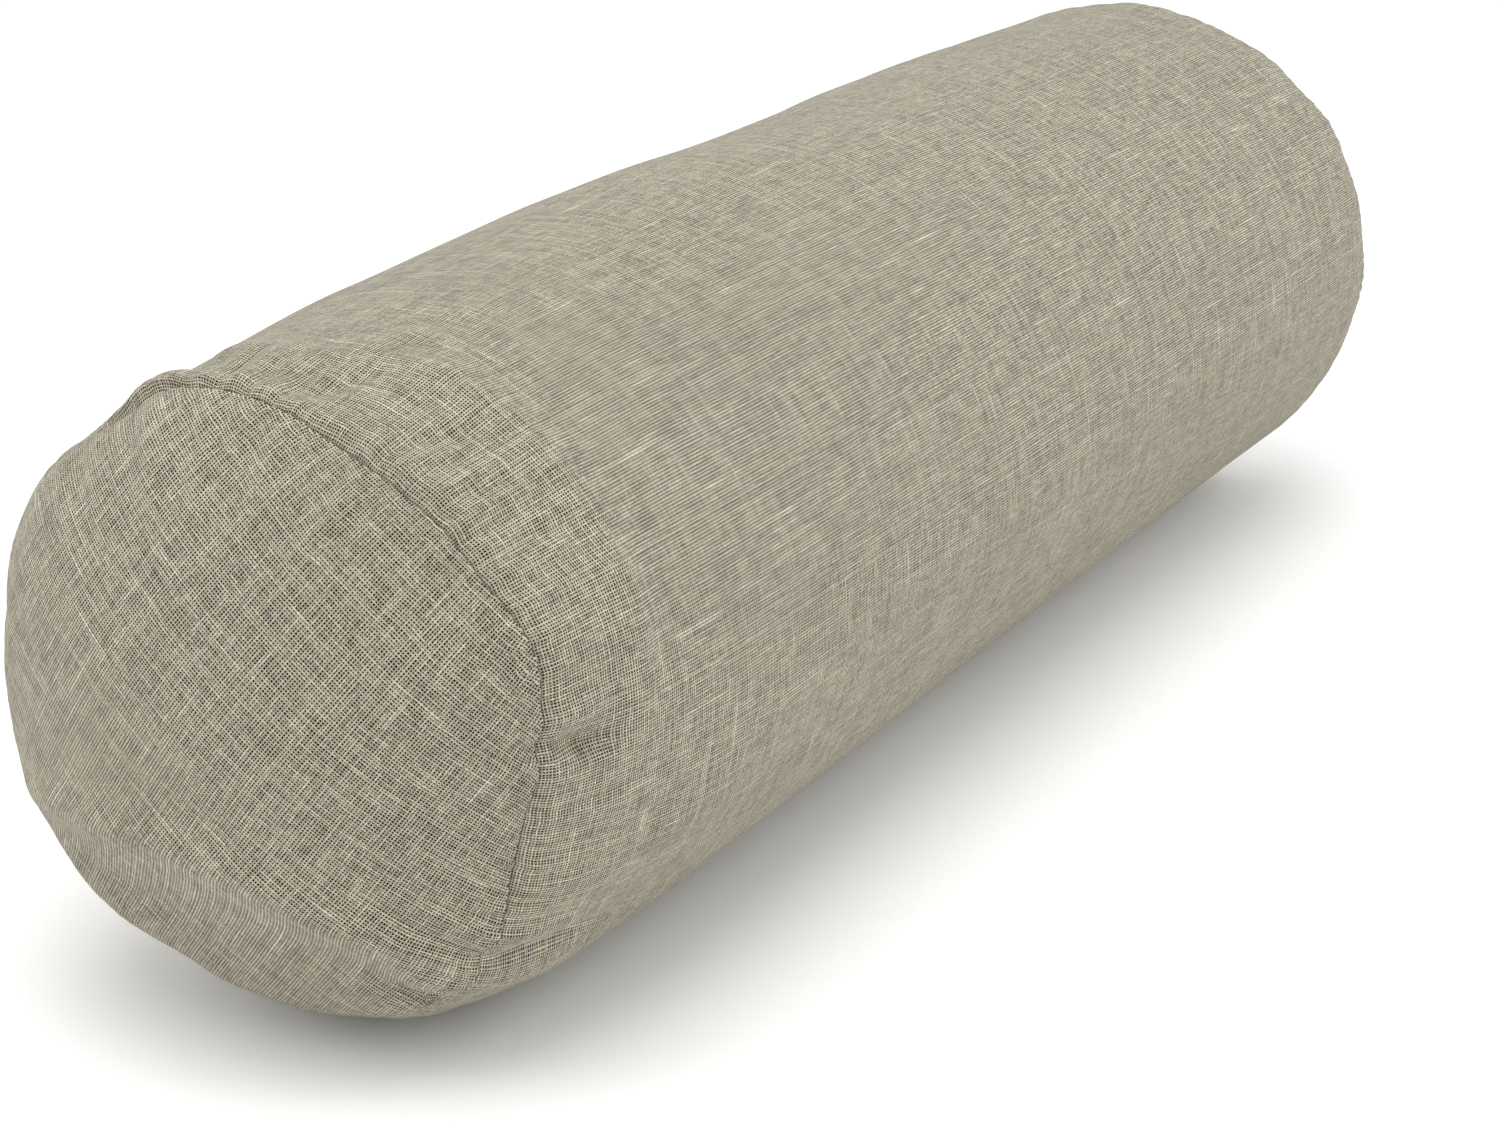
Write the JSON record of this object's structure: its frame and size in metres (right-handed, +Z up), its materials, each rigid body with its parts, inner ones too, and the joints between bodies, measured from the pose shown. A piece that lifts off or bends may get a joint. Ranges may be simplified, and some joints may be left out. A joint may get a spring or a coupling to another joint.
{
  "type": "bolster pillow",
  "caption": "Long round support cushion with soft bulged ends; a zipped woven cover over a wadded foam core in a cotton liner.",
  "frame": {"origin": "bottom centre of the bounding box, on the surface that the bolster lies on", "axes": "+X along the bolster towards its flatter right end, +Y towards the zipper at the back, +Z up"},
  "size_m": [0.65, 0.2, 0.197],
  "materials": {
    "linen": "matte",
    "linen_thread": "matte",
    "cotton": "matte",
    "cotton_thread": "matte",
    "wadding": "matte",
    "foam": "matte",
    "tape": "matte",
    "nylon": "satin",
    "zipper_metal": "satin"
  },
  "bodies": {
    "cushion": {"cover_body": "linen", "cover_end_left": "linen", "cover_end_right": "linen", "cover_thread_left": "linen_thread", "cover_thread_right": "linen_thread", "side_thread_left": "linen_thread", "side_thread_right": "linen_thread", "zipper_tape_upper": "tape", "zipper_tape_lower": "tape", "zipper_coil_upper": "nylon", "zipper_coil_lower": "nylon", "zipper_top_stop_upper": "zipper_metal", "zipper_top_stop_lower": "zipper_metal", "zipper_bottom_stop": "zipper_metal", "tape_thread_upper": "linen_thread", "tape_thread_lower": "linen_thread", "bar_tack_left": "linen_thread", "bar_tack_right": "linen_thread", "liner_body": "cotton", "liner_end_left": "cotton", "liner_end_right": "cotton", "liner_thread_left": "cotton_thread", "liner_thread_right": "cotton_thread", "liner_side_thread": "cotton_thread", "wadding_wrap": "wadding", "wadding_disc_left": "wadding", "wadding_disc_right": "wadding", "foam_core": "foam"},
    "slider": {"zipper_slider": "zipper_metal"},
    "pull_tab": {"zipper_pull_tab": "zipper_metal"}
  },
  "joints": [
    {"name": "slider_travel", "type": "slide", "parent": "cushion", "child": "slider", "axis": [-1, 0, 0], "range_m": [0, 0.381]},
    {"name": "tab_swing", "type": "hinge", "parent": "slider", "child": "pull_tab", "pos_m": [0.2288, 0.09264, 0.1402], "axis": [0, 0.4226, -0.9063], "range_deg": [0, 170]}
  ]
}
